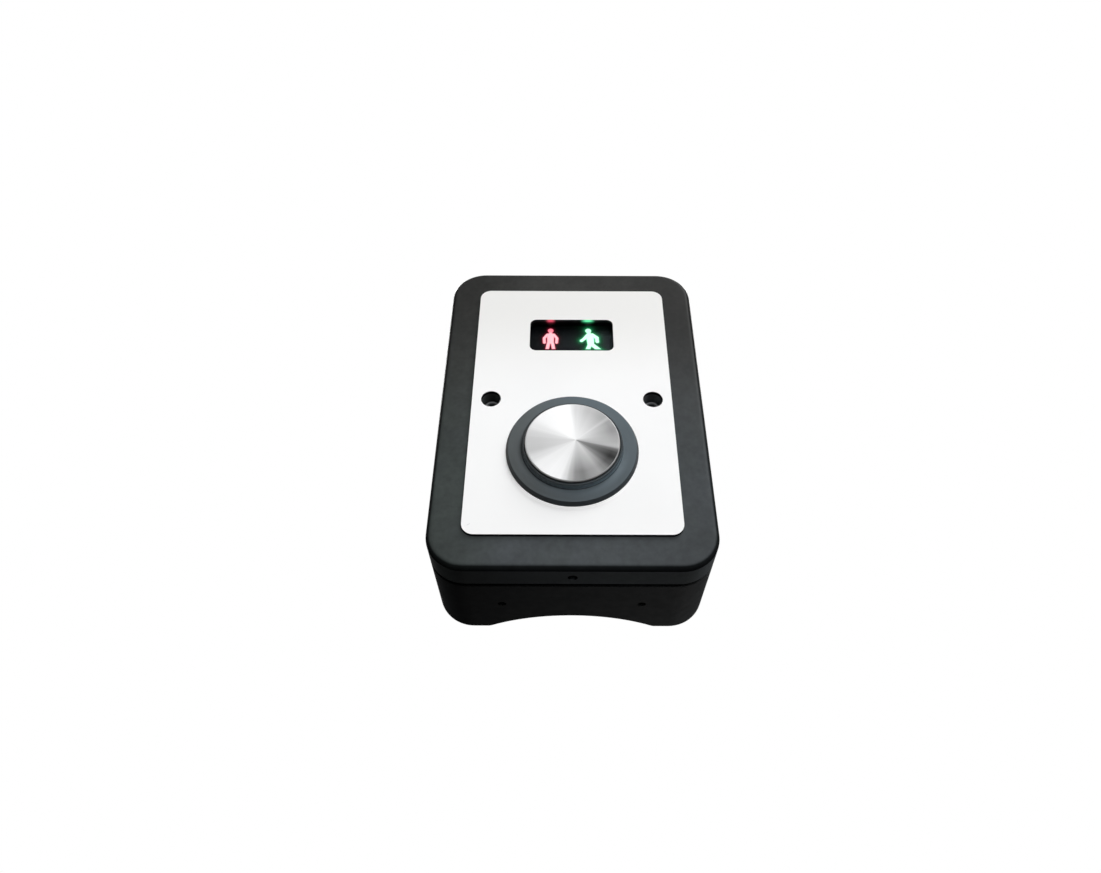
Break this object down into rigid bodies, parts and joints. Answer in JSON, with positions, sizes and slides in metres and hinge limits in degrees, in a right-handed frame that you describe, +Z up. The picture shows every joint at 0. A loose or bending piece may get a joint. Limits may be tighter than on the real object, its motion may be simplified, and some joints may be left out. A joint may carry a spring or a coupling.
{
  "type": "pedestrian crossing push-button unit",
  "caption": "Pole-mounted pedestrian push-button box: white face plate, lit red and green figure window, large round steel button, saddle back.",
  "frame": {"origin": "apex of the pole saddle at mid-height, the centre of the two pole bolt holes", "axes": "X to the right seen from the front, +Y out of the back towards the pole, +Z up"},
  "size_m": [0.132, 0.073, 0.186],
  "materials": {
    "cover_plastic": "fine-grained matt charcoal moulding with satin sheen",
    "housing_plastic": "fine-grained matt black moulding",
    "plate_laminate": "white faced laminate, satin gloss, dark core at the cut edges",
    "clear_pane": "clear polycarbonate pane, polished",
    "mask_black": "gloss black moulded mask",
    "figure_red": "red diffusing plastic, lit from behind",
    "figure_green": "green diffusing plastic, lit from behind",
    "reflector_white": "matt white moulding",
    "board_green": "glass-epoxy board with green solder mask",
    "led_red": "red surface-mount lamps",
    "led_green": "green surface-mount lamps",
    "zinc_steel": "zinc-plated steel",
    "bezel_plastic": "matt slate blue-grey glass-filled nylon",
    "cast_alloy": "die-cast zinc alloy",
    "spun_steel": "stainless steel with circular spun finish",
    "plunger_plastic": "natural acetal",
    "spring_steel": "bright spring steel",
    "switch_black": "black thermoset case",
    "switch_red": "red acetal",
    "contact_brass": "tin-brass blades",
    "component_black": "black component cases",
    "connector_cream": "cream nylon shells",
    "terminal_green": "green nylon",
    "wire_red": "red insulated leads",
    "wire_blue": "blue insulated leads",
    "black_steel": "black-oxide steel",
    "insert_brass": "machined brass",
    "black_rubber": "black rubber"
  },
  "bodies": {
    "unit": {"front_cover": "cover_plastic", "rear_housing": "housing_plastic", "housing_gasket": "black_rubber", "face_plate": "plate_laminate", "window_lens": "clear_pane", "window_gasket": "black_rubber", "pictogram_mask": "mask_black", "red_figure_lens": "figure_red", "green_figure_lens": "figure_green", "light_box": "reflector_white", "led_board": "board_green", "red_leds": "led_red", "green_leds": "led_green", "light_box_screws": "zinc_steel", "button_bezel": "bezel_plastic", "bezel_washer": "black_rubber", "bezel_nut": "cast_alloy", "return_spring": "spring_steel", "switch_bracket": "zinc_steel", "bracket_screws": "zinc_steel", "switch_body": "switch_black", "lever_pin": "spring_steel", "switch_terminals": "contact_brass", "switch_screws": "zinc_steel", "control_board": "board_green", "board_components": "component_black", "board_connectors": "connector_cream", "board_screws": "zinc_steel", "terminal_block": "terminal_green", "terminal_screws": "zinc_steel", "switch_leads": "wire_red", "led_leads": "wire_blue", "cover_screws": "black_steel", "threaded_inserts": "insert_brass", "lock_screw": "black_steel", "cable_grommet": "black_rubber"},
    "button": {"button_cap": "spun_steel", "button_plunger": "plunger_plastic", "stem_seal": "black_rubber", "retaining_clip": "spring_steel"},
    "lever": {"switch_lever": "spring_steel"},
    "switch_plunger": {"switch_button": "switch_red"}
  },
  "joints": [
    {"name": "button_press", "type": "slide", "parent": "unit", "child": "button", "axis": [0, 1, 0], "range_m": [0, 0.0025], "stiffness_N_per_m": 1500, "springref_m": -0.004, "deforming": ["return_spring"]},
    {"name": "lever_hinge", "type": "hinge", "parent": "unit", "child": "lever", "pos_m": [0, -0.029, -0.018], "axis": [1, 0, 0], "range_deg": [0, 11.1]},
    {"name": "switch_press", "type": "slide", "parent": "unit", "child": "switch_plunger", "axis": [0, 1, 0], "range_m": [0, 0.00107]}
  ],
  "couplings": [
    {"joint": "lever_hinge", "follows": "button_press", "rad_per_m": 76.923},
    {"joint": "switch_press", "follows": "button_press", "ratio": 0.42308}
  ]
}
